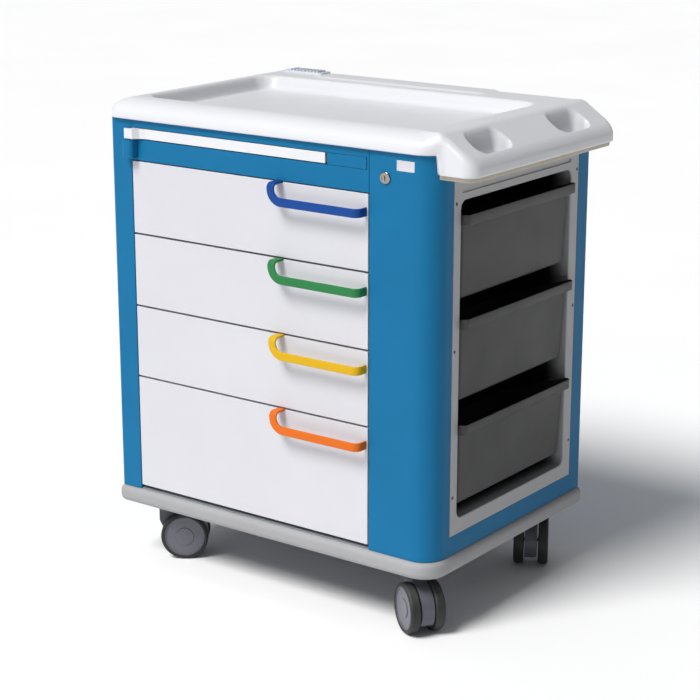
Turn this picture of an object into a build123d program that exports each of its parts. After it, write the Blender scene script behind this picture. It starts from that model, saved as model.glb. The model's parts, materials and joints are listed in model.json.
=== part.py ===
"""A wheeled ward cabinet: drawers in front, tilting bins on the right, a moulded tray with a push handle on top.

Millimetres, +Z up, front towards -Y. The origin is on the floor, under the middle of the whole object.
"""
from math import cos, radians, sin
import os

from build123d import *

os.makedirs("parts", exist_ok=True)

# Whole object
CABINET_WIDTH = 784
CABINET_DEPTH = 558
FLOOR_TO_BUMPER = 122
BUMPER_HEIGHT = 36
BUMPER_TO_TRAY = 816
TRAY_OVERHANG = 8
HANDLE_REACH = 71
DRAWER_HANDLE_REACH = 30

# Steel body
SHEET = 1.5
STILE_WIDTH = 53
COLUMN_WIDTH = 145
COLUMN_RADIUS = 45
SMALL_RADIUS = 6
RETURN_DEPTH = 22
LINER_FRONT = 24
LINER_BACK = 540
TOP_RAIL_HEIGHT = 81
FOLD_DEPTH = 20

# Shelf slot
SLOT_BOTTOM = 777
SLOT_TOP = 800.6
SHELF_THICKNESS = 20
SHELF_LENGTH = 430
SHELF_WIDTH = 481
SLOT_LENGTH = 488
SHELF_GAP = 2

# Drawers
DRAWER_COUNT = 4
DRAWER_PITCH = 150.5
DRAWER_SEAM = 4
DRAWER_TOP = 732.5
DRAWER_BOTTOM = 45.5
FRONT_THICKNESS = 18
FRONT_GAP = 2
BOX_SHEET = 1
BOX_LENGTH = 470
BOX_RISE = 12
BOX_HEADROOM = 30
RAIL_SPACE = 13
RAIL_LENGTH = 440
RAIL_START = 30
RAIL_HALF_HEIGHT = 17.5
RAIL_SHEET = 1.2
RAIL_RISE = 36

# Drawer handles
STRAP_HEIGHT = 17
STRAP_THICKNESS = 5
STRAP_DROP = 33.5
STRAP_LEFT = 405
STRAP_RIGHT = 582
HOOK_RADIUS = 44
HOOK_TIP_RADIUS = 14

# Side bins and their moulded surround
FRAME_FRONT = 62.7
FRAME_BACK = 515
FRAME_BOTTOM = 73
OPENING_FRONT = 87
OPENING_BACK = 484
OPENING_BOTTOM = 105
OPENING_TOP = 723
OPENING_RADIUS = 16
SURROUND_WALL = 3
SURROUND_DEPTH = 138
BIN_TOPS = (697.5, 499.5, 293)
BIN_HEIGHT = 163
BIN_WALL = 2.5
BIN_TAPER = 6
BIN_LIP = 16
LIP_HEIGHT = 20
BIN_BACK_CUT = 44
BIN_SIDE_GAP = 3
BIN_CORNER = 9
LIP_OVERLAP = 14
PEG_RADIUS = 4
PEG_RISE = 12
PEG_INSET = 22
FIT = 0.05

# Tray and push handle
RIM_HEIGHT = 40
TRAY_FLOOR = 12
HANDLE_SKIRT = 36
HANDLE_BREAK = 26
HAND_HOLE_LENGTH = 116
HAND_HOLE_SPREAD = 285
HAND_HOLE_WIDTH = 54
HAND_HOLE_MIDDLE = 30
HANDLE_INSET = 24 - TRAY_OVERHANG
GRIP_OVERLAP = 30
GRIP_CORNER = 28
GRIP_EDGE = 12
RIM_RADIUS = 34

# Lock
LOCK_X = 676
LOCK_Z = 767
LOCK_RADIUS = 11.5
LOCK_TRAVEL = 12

# Castors
WHEEL_RADIUS = 50
CASTOR_TRAIL = 32
CASTOR_INSET_X = 78
CASTOR_INSET_FRONT = 60
CASTOR_INSET_BACK = 58
AXLE_RADIUS = 4
STEM_RADIUS = 6
HUB_RADIUS = 42.5
WHEEL_GAP = 15
WHEEL_OUTSIDE = 36
PEDAL_START = 37
PEDAL_END = 86

# Places that follow from the sizes
LEFT = -(CABINET_WIDTH + TRAY_OVERHANG + HANDLE_REACH) / 2 + TRAY_OVERHANG
RIGHT = LEFT + CABINET_WIDTH
FRONT = -(CABINET_DEPTH + TRAY_OVERHANG + DRAWER_HANDLE_REACH) / 2 + DRAWER_HANDLE_REACH
BACK = FRONT + CABINET_DEPTH
BASE = FLOOR_TO_BUMPER
BODY_BOTTOM = BASE + BUMPER_HEIGHT
TRAY_BOTTOM = BASE + BUMPER_TO_TRAY
STILE_EDGE = LEFT + STILE_WIDTH
COLUMN_EDGE = RIGHT - COLUMN_WIDTH
LINER_FACE = STILE_EDGE - 1
PARTITION_FACE = COLUMN_EDGE + 1
RIM_TOP = TRAY_BOTTOM + RIM_HEIGHT
SLOPE_START = RIGHT - 4
MIDDLE_X = (LEFT + RIGHT) / 2
MIDDLE_Y = (FRONT + BACK) / 2

# Swivel places and the way each castor trails, in degrees from +X
CASTORS = {
    "front_left": (LEFT + CASTOR_INSET_X, FRONT + CASTOR_INSET_FRONT, 36),
    "front_right": (RIGHT - CASTOR_INSET_X, FRONT + CASTOR_INSET_FRONT, -34),
    "rear_left": (LEFT + CASTOR_INSET_X, BACK - CASTOR_INSET_BACK, 20),
    "rear_right": (RIGHT - CASTOR_INSET_X, BACK - CASTOR_INSET_BACK, -60),
}
BRAKED = ("front_left", "rear_left")


def finish(builder, name):
    """Labels a finished piece and writes it."""
    builder.part.label = name
    export_step(builder.part, f"parts/{name}.step")


def block(x, y, z, mode=Mode.ADD):
    """A block in the open part between two X, two Y and two Z values."""
    with Locations(((x[0] + x[1]) / 2, (y[0] + y[1]) / 2, (z[0] + z[1]) / 2)):
        Box(x[1] - x[0], y[1] - y[0], z[1] - z[0], mode=mode)


def body_outline(grow, small=SMALL_RADIUS):
    """The edges of the cabinet's plan, grown by an amount: one large corner and three small ones."""
    with BuildLine(mode=Mode.PRIVATE) as outline:
        FilletPolyline(
            (LEFT - grow, FRONT - grow),
            (RIGHT + grow, FRONT - grow),
            (RIGHT + grow, BACK + grow),
            (LEFT - grow, BACK + grow),
            radius=[small + grow, COLUMN_RADIUS + grow, small + grow, small + grow],
            close=True,
        )
    return outline.edges()


# ---------------------------------------------------------------- base


def make_bumper():
    """The soft grey ring round the foot of the cabinet, round on its outer side."""
    inset = 24
    nose = 14
    with BuildPart() as base_bumper:
        with BuildSketch(Plane.XY.offset(BASE)):
            make_face(body_outline(TRAY_OVERHANG, nose - 4))
        extrude(amount=BUMPER_HEIGHT)
        top_loop = base_bumper.faces().sort_by(Axis.Z)[-1].edges()
        bottom_loop = base_bumper.faces().sort_by(Axis.Z)[0].edges()
        fillet(top_loop + bottom_loop, radius=nose)
        with BuildSketch(Plane.XY.offset(BASE)):
            with Locations((MIDDLE_X, MIDDLE_Y)):
                RectangleRounded(CABINET_WIDTH - 2 * inset, CABINET_DEPTH - 2 * inset, inset)
        extrude(amount=BUMPER_HEIGHT, mode=Mode.SUBTRACT)
    finish(base_bumper, "base_bumper")


def make_base_frame():
    """The welded chassis inside the bumper: a ring of square tube, two cross channels and four castor pads."""
    inset = 24.5
    tube = 30
    wall = 2
    pad = (68, 52)
    pad_thickness = 4
    channel_rise = 6
    channel_inset = 250
    with BuildPart() as base_frame:
        with BuildSketch(Plane.XY.offset(BASE)):
            with Locations((MIDDLE_X, MIDDLE_Y)):
                RectangleRounded(CABINET_WIDTH - 2 * inset, CABINET_DEPTH - 2 * inset, inset)
                Rectangle(
                    CABINET_WIDTH - 2 * (inset + tube),
                    CABINET_DEPTH - 2 * (inset + tube),
                    mode=Mode.SUBTRACT,
                )
        extrude(amount=BUMPER_HEIGHT)
        with BuildSketch(Plane.XY.offset(BASE + wall)):
            with Locations((MIDDLE_X, MIDDLE_Y)):
                RectangleRounded(
                    CABINET_WIDTH - 2 * (inset + wall),
                    CABINET_DEPTH - 2 * (inset + wall),
                    inset - wall,
                )
                Rectangle(
                    CABINET_WIDTH - 2 * (inset + tube - wall),
                    CABINET_DEPTH - 2 * (inset + tube - wall),
                    mode=Mode.SUBTRACT,
                )
        extrude(amount=BUMPER_HEIGHT - 2 * wall, mode=Mode.SUBTRACT)
        for x, y, trail in CASTORS.values():
            block((x - pad[0] / 2, x + pad[0] / 2), (y - pad[1] / 2, y + pad[1] / 2), (BASE, BASE + pad_thickness))
        for x in (LEFT + channel_inset, RIGHT - channel_inset):
            run = (FRONT + inset + tube, BACK - inset - tube)
            block((x - tube / 2, x + tube / 2), run, (BASE + channel_rise, BASE + BUMPER_HEIGHT))
            block(
                (x - tube / 2 + wall, x + tube / 2 - wall),
                run,
                (BASE + channel_rise, BASE + BUMPER_HEIGHT - wall),
                Mode.SUBTRACT,
            )
    finish(base_frame, "base_frame")


def make_base_deck():
    """The sheet floor of the cabinet, inside its outer skins, notched round their two front returns."""
    with BuildPart() as base_deck:
        with BuildSketch(Plane.XY.offset(BODY_BOTTOM)):
            make_face(body_outline(-SHEET - 0.5))
            for x in (STILE_EDGE - SHEET / 2, COLUMN_EDGE + SHEET / 2):
                with Locations((x, FRONT + RETURN_DEPTH / 2)):
                    Rectangle(SHEET + 1, RETURN_DEPTH + 1, mode=Mode.SUBTRACT)
        extrude(amount=2)
    finish(base_deck, "base_deck")


# ---------------------------------------------------------------- steel body


def make_left_shell():
    """The left side and the front stile, folded from one sheet, with a return at each end."""
    with BuildPart() as left_shell:
        with BuildSketch(Plane.XY.offset(BODY_BOTTOM)):
            with BuildLine():
                FilletPolyline(
                    (STILE_EDGE, FRONT + RETURN_DEPTH),
                    (STILE_EDGE, FRONT),
                    (LEFT, FRONT),
                    (LEFT, BACK),
                    (LEFT + FOLD_DEPTH, BACK),
                    radius=[2, SMALL_RADIUS, SMALL_RADIUS],
                )
                offset(amount=SHEET, side=Side.RIGHT)
            make_face()
        extrude(amount=TRAY_BOTTOM - BODY_BOTTOM)
    finish(left_shell, "left_shell")


def make_right_shell():
    """The round-cornered right column with the strips round the side opening, folded from one sheet."""
    with BuildPart() as right_shell:
        with BuildSketch(Plane.XY.offset(BODY_BOTTOM)):
            with BuildLine():
                FilletPolyline(
                    (COLUMN_EDGE, FRONT + RETURN_DEPTH),
                    (COLUMN_EDGE, FRONT),
                    (RIGHT, FRONT),
                    (RIGHT, BACK),
                    (RIGHT - FOLD_DEPTH, BACK),
                    radius=[2, COLUMN_RADIUS, SMALL_RADIUS],
                )
                offset(amount=SHEET, side=Side.LEFT)
            make_face()
        extrude(amount=TRAY_BOTTOM - BODY_BOTTOM)
        block(
            (RIGHT - 2 * SHEET, RIGHT + SHEET),
            (FRONT + FRAME_FRONT, FRONT + FRAME_BACK),
            (BASE + FRAME_BOTTOM, TRAY_BOTTOM),
            Mode.SUBTRACT,
        )
        with Locations(Plane.XZ.offset(-FRONT)):
            with Locations((LEFT + LOCK_X, BASE + LOCK_Z)):
                Cylinder(LOCK_RADIUS - 2.4, 4 * SHEET, mode=Mode.SUBTRACT)
    finish(right_shell, "right_shell")


def make_back_panel():
    """The flat sheet back, stiffened by two shallow pressed panels."""
    press = 3
    panel_width = 640
    panel_height = 310
    corner = 20
    panel_levels = (BODY_BOTTOM + 210, BODY_BOTTOM + 570)
    with BuildPart() as back_panel:
        block(
            (LEFT + FOLD_DEPTH + 1, RIGHT - FOLD_DEPTH - 1),
            (BACK - SHEET, BACK),
            (BODY_BOTTOM + 2.5, TRAY_BOTTOM),
        )
        for centre_z in panel_levels:
            with BuildSketch(Plane.XZ.offset(-BACK)):
                with Locations((MIDDLE_X, centre_z)):
                    RectangleRounded(panel_width, panel_height, corner)
            extrude(amount=SHEET + press)
            with BuildSketch(Plane.XZ.offset(-BACK)):
                with Locations((MIDDLE_X, centre_z)):
                    RectangleRounded(panel_width - 2 * SHEET, panel_height - 2 * SHEET, corner - SHEET)
            extrude(amount=press, mode=Mode.SUBTRACT)
    finish(back_panel, "back_panel")


def make_liners():
    """The two upright sheets that carry the drawer rails: a liner on the left, a partition on the right."""
    fold = 12
    upright = (BODY_BOTTOM + 2, TRAY_BOTTOM - 2)
    run = (FRONT + LINER_FRONT, FRONT + LINER_BACK)
    with BuildPart() as left_liner:
        block((LINER_FACE - SHEET, LINER_FACE), run, upright)
        block((LINER_FACE - fold, LINER_FACE), (run[1] - SHEET, run[1]), upright)
        block((LINER_FACE - fold, LINER_FACE), run, (upright[0], upright[0] + SHEET))
    finish(left_liner, "left_liner")
    with BuildPart() as inner_partition:
        block((PARTITION_FACE, PARTITION_FACE + SHEET), run, upright)
        block((PARTITION_FACE, PARTITION_FACE + fold), (run[1] - SHEET, run[1]), upright)
        for level in lock_tab_levels():
            block(
                (PARTITION_FACE - SHEET, PARTITION_FACE + 2 * SHEET),
                (run[0] + 4, run[0] + 18),
                (level - 5, level + 11 + LOCK_TRAVEL),
                Mode.SUBTRACT,
            )
    finish(inner_partition, "inner_partition")


def make_top_rail():
    """The folded rail above the drawers, with the slot that the writing shelf slides in."""
    bottom = TRAY_BOTTOM - TOP_RAIL_HEIGHT
    span = (STILE_EDGE + 0.3, COLUMN_EDGE - 0.3)
    with BuildPart() as top_rail:
        block(span, (FRONT, FRONT + SHEET), (bottom, TRAY_BOTTOM))
        block(span, (FRONT, FRONT + FOLD_DEPTH), (bottom, bottom + SHEET))
        block(span, (FRONT, FRONT + FOLD_DEPTH), (TRAY_BOTTOM - SHEET, TRAY_BOTTOM))
        block((span[0], span[0] + SHEET), (FRONT, FRONT + FOLD_DEPTH), (bottom, TRAY_BOTTOM))
        block((span[1] - SHEET, span[1]), (FRONT, FRONT + FOLD_DEPTH), (bottom, TRAY_BOTTOM))
        block(
            (span[0] + SHEET, span[1] - 4),
            (FRONT - 1, FRONT + 2 * SHEET),
            (BASE + SLOT_BOTTOM, BASE + SLOT_TOP),
            Mode.SUBTRACT,
        )
    finish(top_rail, "top_rail")


def make_slot_blanking_plate():
    """The plate that closes the right end of the shelf slot, held by a wider flange behind the rail."""
    start = STILE_EDGE + SLOT_LENGTH + 2
    end = COLUMN_EDGE - 6
    edge_gap = 0.8
    with BuildPart() as slot_blanking_plate:
        block((start, end), (FRONT, FRONT + SHEET), (BASE + SLOT_BOTTOM + edge_gap, BASE + SLOT_TOP - edge_gap))
        block((start, end), (FRONT + SHEET, FRONT + 2 * SHEET), (BASE + SLOT_BOTTOM - 6, BASE + SLOT_TOP + 6))
    finish(slot_blanking_plate, "slot_blanking_plate")


def make_shelf_catch():
    """The rounded knuckle on the stile, under the end of the writing shelf."""
    with BuildPart() as shelf_catch:
        block(
            (STILE_EDGE - 10, STILE_EDGE + 17),
            (FRONT - 20, FRONT),
            (BASE + SLOT_BOTTOM - 38, BASE + SLOT_BOTTOM - 0.5),
        )
        front_corners = shelf_catch.edges().filter_by(Axis.Z).group_by(Axis.Y)[0]
        fillet(front_corners, radius=9)
        fillet(shelf_catch.faces().sort_by(Axis.Z)[0].edges().group_by(Axis.Y)[0], radius=3)
    finish(shelf_catch, "shelf_catch")


# ---------------------------------------------------------------- shelf


def make_shelf():
    """The sliding writing shelf, its front edge curled forward into a grip at the left."""
    left = STILE_EDGE + 4
    right = left + SHELF_WIDTH
    bottom = BASE + SLOT_BOTTOM + SHELF_GAP
    top = bottom + SHELF_THICKNESS
    grip_front = FRONT - 15
    grip_inside = grip_front + 5
    grip_tip = left - 10
    border = 25
    sunk = 2
    with BuildPart() as writing_shelf:
        block((left, right), (FRONT, FRONT + SHELF_LENGTH), (bottom, top))
        with BuildSketch(Plane.XY.offset(bottom)):
            with BuildLine():
                Polyline(
                    (left + 34, FRONT + 1),
                    (left + 34, FRONT),
                    (left + 22, FRONT - 4),
                    (left + 12, grip_front),
                    (grip_tip, grip_front),
                    (grip_tip, grip_inside),
                    (left + 1, grip_inside),
                    (left + 1, FRONT + 1),
                    close=True,
                )
            make_face()
        extrude(amount=SHELF_THICKNESS)
        grip_edges = writing_shelf.edges().filter_by(Axis.Z).filter_by_position(Axis.Y, grip_front - 1, FRONT - 2)
        fillet(grip_edges, radius=2.2)
        with BuildSketch(Plane.XY.offset(top)):
            with Locations((left + SHELF_WIDTH / 2, FRONT + SHELF_LENGTH / 2 + 4)):
                RectangleRounded(SHELF_WIDTH - 2 * border, SHELF_LENGTH - 60, 12)
        extrude(amount=-sunk, mode=Mode.SUBTRACT)
    finish(writing_shelf, "writing_shelf")


def make_shelf_runners():
    """The cradle that guides the shelf: a channel on each side and a strap across the back."""
    left = LINER_FACE + 1.3
    right = STILE_EDGE + 4 + SHELF_WIDTH + 2 + SHEET
    low = BASE + SLOT_BOTTOM - 0.5
    high = BASE + SLOT_TOP
    reach = 12
    run = (FRONT + LINER_FRONT, FRONT + 480)
    with BuildPart() as shelf_runners:
        for web in ((left, left + SHEET), (right - SHEET, right)):
            block(web, run, (low - SHEET, high + SHEET))
        for flange in ((left, left + reach), (right - reach, right)):
            block(flange, run, (low - SHEET, low))
            block(flange, run, (high, high + SHEET))
        block((LINER_FACE, right), (run[1] - 16, run[1]), (low - SHEET, low))
        block((LINER_FACE, left), (run[1] - 16, run[1]), (low - SHEET, high))
    finish(shelf_runners, "shelf_runners")


# ---------------------------------------------------------------- drawers


def drawer_levels(index):
    """The bottom and top of a drawer front, counted from the top of the cabinet."""
    top = BASE + DRAWER_TOP - index * DRAWER_PITCH
    if index == DRAWER_COUNT - 1:
        return BASE + DRAWER_BOTTOM, top
    return top - DRAWER_PITCH + DRAWER_SEAM, top


def rail_level(index):
    """The height of the middle of a drawer's rails."""
    return drawer_levels(index)[0] + BOX_RISE + RAIL_RISE


def lock_tab_levels():
    """The height of each lock bar tab, above the rails of its drawer."""
    return [rail_level(index) + RAIL_HALF_HEIGHT + 14 for index in range(DRAWER_COUNT)]


def channel(side, web, flange_end, half_height, level, start):
    """A rail of C section in the open part. Distances are from the carrying face towards the drawer."""
    face = LINER_FACE if side > 0 else PARTITION_FACE
    run = (start, start + RAIL_LENGTH)
    web_x = sorted((face + side * web, face + side * (web + RAIL_SHEET)))
    flange_x = sorted((face + side * min(web, flange_end), face + side * max(web + RAIL_SHEET, flange_end)))
    block(web_x, run, (level - half_height, level + half_height))
    block(flange_x, run, (level + half_height - RAIL_SHEET, level + half_height))
    block(flange_x, run, (level - half_height, level - half_height + RAIL_SHEET))


def make_fixed_rails():
    """The outer member of every drawer slide, one on each side of each drawer."""
    with BuildPart() as drawer_outer_rails:
        for index in range(DRAWER_COUNT):
            for side in (1, -1):
                channel(side, 0, 9, RAIL_HALF_HEIGHT, rail_level(index), FRONT + RAIL_START)
    finish(drawer_outer_rails, "drawer_outer_rails")


def make_moving_rails(index):
    """The middle and inner members of one drawer's slides, nested in the outer one."""
    with BuildPart() as mid_rails:
        for side in (1, -1):
            channel(side, 3, 11.4, RAIL_HALF_HEIGHT - 2.2, rail_level(index), FRONT + RAIL_START)
    finish(mid_rails, f"drawer_mid_rails_{index + 1}")
    with BuildPart() as inner_rails:
        for side in (1, -1):
            channel(side, RAIL_SPACE - RAIL_SHEET, 5.6, RAIL_HALF_HEIGHT - 4.4, rail_level(index), FRONT + RAIL_START)
    finish(inner_rails, f"drawer_inner_rails_{index + 1}")


def make_drawer_front(index):
    """A white drawer front: a folded steel pan with softened edges, open towards the box."""
    bottom, top = drawer_levels(index)
    left = STILE_EDGE + FRONT_GAP
    right = COLUMN_EDGE - FRONT_GAP
    with BuildPart() as drawer_front:
        block((left, right), (FRONT, FRONT + FRONT_THICKNESS), (bottom, top))
        fillet(drawer_front.faces().sort_by(Axis.Y)[0].edges(), radius=1.2)
        block(
            (left + SHEET, right - SHEET),
            (FRONT + SHEET, FRONT + FRONT_THICKNESS),
            (bottom + SHEET, top - SHEET),
            Mode.SUBTRACT,
        )
    finish(drawer_front, f"drawer_front_{index + 1}")


def make_drawer_box(index):
    """A folded sheet drawer box, open at the top, with its rim turned outwards at the back."""
    bottom, top = drawer_levels(index)
    left = LINER_FACE + RAIL_SPACE
    right = PARTITION_FACE - RAIL_SPACE
    low = bottom + BOX_RISE
    high = top - BOX_HEADROOM
    run = (FRONT + FRONT_THICKNESS, FRONT + FRONT_THICKNESS + BOX_LENGTH)
    with BuildPart() as drawer_box:
        block((left, right), run, (low, high))
        block(
            (left + BOX_SHEET, right - BOX_SHEET),
            (run[0] + BOX_SHEET, run[1] - BOX_SHEET),
            (low + BOX_SHEET, high),
            Mode.SUBTRACT,
        )
        for lip_x in ((left, left + 6), (right - 6, right)):
            block(lip_x, run, (high - BOX_SHEET, high))
    finish(drawer_box, f"drawer_box_{index + 1}")


def make_drawer_handle(index):
    """A flat strap handle: straight to the right, hooked up at the left, bent back into the front at both ends."""
    low = drawer_levels(index)[1] - STRAP_DROP - STRAP_HEIGHT / 2
    high = low + STRAP_HEIGHT
    bend_x = STILE_EDGE + STRAP_LEFT
    right = STILE_EDGE + STRAP_RIGHT
    outside = FRONT - DRAWER_HANDLE_REACH
    inside = outside + STRAP_THICKNESS
    bend = 14
    with BuildPart() as drawer_handle:
        # The straight run and its right end, bent back to the front.
        with BuildSketch(Plane.XY.offset(low)):
            with BuildLine():
                FilletPolyline((bend_x, outside), (right, outside), (right, FRONT), radius=bend)
                FilletPolyline(
                    (bend_x, inside),
                    (right - STRAP_THICKNESS, inside),
                    (right - STRAP_THICKNESS, FRONT),
                    radius=bend - STRAP_THICKNESS,
                )
                Line((bend_x, outside), (bend_x, inside))
                Line((right - STRAP_THICKNESS, FRONT), (right, FRONT))
            make_face()
        extrude(amount=STRAP_HEIGHT)
        # The flat of the hook.
        with BuildSketch(Plane.XZ.offset(-outside)):
            with BuildLine():
                sweep_up = JernArc((bend_x, low), (-1, 0), HOOK_RADIUS, -50)
                curl = JernArc(sweep_up @ 1, sweep_up % 1, HOOK_TIP_RADIUS, -112)
                tip = Line(curl @ 1, curl @ 1 + 10 * (curl % 1))
                notch = Line(tip @ 1, (bend_x - 22, low + 34))
                inner = ThreePointArc(notch @ 1, (bend_x - 12, low + 22), (bend_x, high))
                Line(inner @ 1, (bend_x, low))
            make_face()
        extrude(amount=-STRAP_THICKNESS)
        # The curled end of the hook, which runs back to the front.
        with BuildSketch(Plane.XZ.offset(-outside)):
            with BuildLine():
                curl_out = JernArc(sweep_up @ 1, sweep_up % 1, HOOK_TIP_RADIUS, -112)
                tip_out = Line(curl_out @ 1, curl_out @ 1 + 4 * (curl_out % 1))
                offset(amount=STRAP_THICKNESS - 1, side=Side.RIGHT)
            make_face()
        extrude(amount=-DRAWER_HANDLE_REACH)
    finish(drawer_handle, f"drawer_handle_{index + 1}")


# ---------------------------------------------------------------- side bins


def make_bin_surround():
    """The white moulded housing in the side opening: a face frame, and a box behind it that holds the bins."""
    face_plane = Plane.YZ.offset(RIGHT + 1)
    centre = (
        FRONT + (OPENING_FRONT + OPENING_BACK) / 2,
        BASE + (OPENING_BOTTOM + OPENING_TOP) / 2,
    )
    width = OPENING_BACK - OPENING_FRONT
    height = OPENING_TOP - OPENING_BOTTOM
    gap = 1.5
    hidden_edge = 7
    with BuildPart() as bin_surround:
        block(
            (RIGHT - SHEET - 4, RIGHT + 1),
            (FRONT + FRAME_FRONT + gap, FRONT + FRAME_BACK - gap),
            (BASE + FRAME_BOTTOM + gap, TRAY_BOTTOM - 0.5),
        )
        fillet(bin_surround.faces().sort_by(Axis.X)[-1].edges().filter_by(Axis.Z), radius=2)
        block(
            (RIGHT - SHEET - 4, RIGHT - SHEET),
            (FRONT + FRAME_FRONT - hidden_edge, FRONT + FRAME_BACK + hidden_edge),
            (BASE + FRAME_BOTTOM - hidden_edge, TRAY_BOTTOM - 0.5),
        )
        with BuildSketch(Plane.YZ.offset(RIGHT - SHEET)):
            with Locations(centre):
                RectangleRounded(
                    width + 2 * SURROUND_WALL,
                    height + 2 * SURROUND_WALL,
                    OPENING_RADIUS + SURROUND_WALL,
                )
        extrude(amount=-SURROUND_DEPTH)
        with BuildSketch(face_plane):
            with Locations(centre):
                RectangleRounded(width, height, OPENING_RADIUS)
        extrude(amount=-(SURROUND_DEPTH - SURROUND_WALL), mode=Mode.SUBTRACT)
        mouth = bin_surround.faces().sort_by(Axis.X)[-1].inner_wires()[0].edges()
        fillet(mouth, radius=2.5)
        with BuildSketch(face_plane):
            with Locations((centre[0], BASE + OPENING_TOP + 19)):
                RectangleRounded(width - 4, 9, 4)
        extrude(amount=-2.5, mode=Mode.SUBTRACT)
        for level in surround_screw_levels():
            for y in surround_screw_rows():
                with Locations(Plane.YZ.offset(RIGHT + 1)):
                    with Locations((y, level)):
                        Cylinder(3.6, 3, mode=Mode.SUBTRACT)
        for top in BIN_TOPS:
            x, z = bin_pivot(top)
            with Locations(Plane.XZ.offset(-MIDDLE_Y)):
                with Locations((x, z)):
                    Cylinder(PEG_RADIUS + FIT, CABINET_DEPTH, mode=Mode.SUBTRACT)
    finish(bin_surround, "bin_surround")


def surround_screw_levels():
    """The heights of the screws that hold the surround."""
    return (BASE + 152, BASE + 440, BASE + 720)


def surround_screw_rows():
    """The two upright rows of surround screws."""
    return (FRONT + 71, FRONT + 506)


def make_surround_screws():
    """The small domed screws of the surround, sunk in their counterbores."""
    with BuildPart() as surround_screws:
        for level in surround_screw_levels():
            for y in surround_screw_rows():
                with Locations(Plane.YZ.offset(RIGHT + 0.1)):
                    with Locations((y, level)):
                        Cylinder(3.2, 1.2)
        fillet(surround_screws.faces().filter_by(Axis.X).group_by(Axis.X)[-1].edges(), radius=0.5)
    finish(surround_screws, "surround_screws")


def bin_pivot(top):
    """Where a bin's two pegs turn, seen along Y."""
    return RIGHT - PEG_INSET - 8, BASE + top - BIN_HEIGHT + PEG_RISE


def bin_lip_outline(inset, radius):
    """The edges of the wide part of a bin's lip, which laps over the face frame at both ends."""
    start = RIGHT + 2.2 + inset
    end = RIGHT + BIN_LIP - inset
    front = FRONT + OPENING_FRONT - LIP_OVERLAP + inset
    back = FRONT + OPENING_BACK + LIP_OVERLAP - inset
    with BuildLine(mode=Mode.PRIVATE) as outline:
        FilletPolyline(
            (start, front), (end, front), (end, back), (start, back),
            radius=[1, radius, radius, 1],
            close=True,
        )
    return outline.edges()


def make_bin(index):
    """A grey bin with tapered walls, a flared lip along its front and a low back, turning on two moulded pegs."""
    top = BASE + BIN_TOPS[index]
    bottom = top - BIN_HEIGHT
    lip_foot = top - LIP_HEIGHT
    middle_y = FRONT + (OPENING_FRONT + OPENING_BACK) / 2
    length = OPENING_BACK - OPENING_FRONT - 2 * BIN_SIDE_GAP
    lip_length = length + 4
    back_x = RIGHT - SHEET - SURROUND_DEPTH + SURROUND_WALL + 5
    depth = RIGHT - back_x
    centre_x = (RIGHT + back_x) / 2
    lip_centre = centre_x + BIN_LIP / 2
    inner_corner = BIN_CORNER - BIN_WALL
    with BuildPart() as bin_part:
        with BuildSketch(Plane.XY.offset(bottom)):
            with Locations((centre_x, middle_y)):
                RectangleRounded(depth - 2 * BIN_TAPER, length - 2 * BIN_TAPER, BIN_CORNER)
        with BuildSketch(Plane.XY.offset(top)):
            with Locations((centre_x, middle_y)):
                RectangleRounded(depth, length, BIN_CORNER)
        loft()
        fillet(bin_part.faces().sort_by(Axis.Z)[0].edges(), radius=5)
        with BuildSketch(Plane.XY.offset(lip_foot)):
            with Locations((lip_centre, middle_y)):
                RectangleRounded(depth + BIN_LIP, lip_length, BIN_CORNER)
            make_face(bin_lip_outline(0, BIN_CORNER))
        extrude(amount=LIP_HEIGHT)
        foot_edges = bin_part.edges().filter_by_position(Axis.Z, lip_foot - 0.1, lip_foot + 0.1)
        fillet(foot_edges.group_by(Axis.X)[-1], radius=1.2)
        # The hollow inside, down to the floor.
        with BuildSketch(Plane.XY.offset(bottom + BIN_WALL)):
            with Locations((centre_x, middle_y)):
                RectangleRounded(
                    depth - 2 * (BIN_TAPER + BIN_WALL),
                    length - 2 * (BIN_TAPER + BIN_WALL),
                    inner_corner,
                )
        with BuildSketch(Plane.XY.offset(lip_foot + BIN_WALL)):
            with Locations((centre_x, middle_y)):
                RectangleRounded(depth - 2 * BIN_WALL - 1.4, length - 2 * BIN_WALL - 1.4, inner_corner)
        loft(mode=Mode.SUBTRACT)
        with BuildSketch(Plane.XY.offset(lip_foot + BIN_WALL)):
            with Locations((lip_centre, middle_y)):
                RectangleRounded(depth + BIN_LIP - 2 * BIN_WALL, lip_length - 2 * BIN_WALL, inner_corner)
            make_face(bin_lip_outline(BIN_WALL, inner_corner))
        extrude(amount=LIP_HEIGHT, mode=Mode.SUBTRACT)
        # The low back.
        with BuildSketch(Plane.XZ.offset(-middle_y)):
            with BuildLine():
                Polyline(
                    (back_x - 30, top - BIN_BACK_CUT),
                    (back_x + 14, top - BIN_BACK_CUT),
                    (back_x + 46, top + 5),
                    (back_x - 30, top + 5),
                    (back_x - 30, top - BIN_BACK_CUT),
                )
            make_face()
        extrude(amount=length, both=True, mode=Mode.SUBTRACT)
        x, z = bin_pivot(BIN_TOPS[index])
        for end in (-1, 1):
            start = middle_y + end * (length / 2 - BIN_TAPER - 0.5)
            tip = middle_y + end * ((OPENING_BACK - OPENING_FRONT) / 2 + SURROUND_WALL - 0.5)
            with Locations(Plane.XZ.offset(-(start + tip) / 2)):
                with Locations((x, z)):
                    Cylinder(PEG_RADIUS, abs(tip - start))
    finish(bin_part, f"side_bin_{index + 1}")


# ---------------------------------------------------------------- tray and push handle


def handle_slope(x):
    """The height of the push handle's sloping top at a given X."""
    drop = RIM_TOP - (TRAY_BOTTOM - HANDLE_SKIRT + HANDLE_BREAK)
    return RIM_TOP - (x - SLOPE_START) * drop / (RIGHT + HANDLE_REACH - SLOPE_START)


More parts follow.
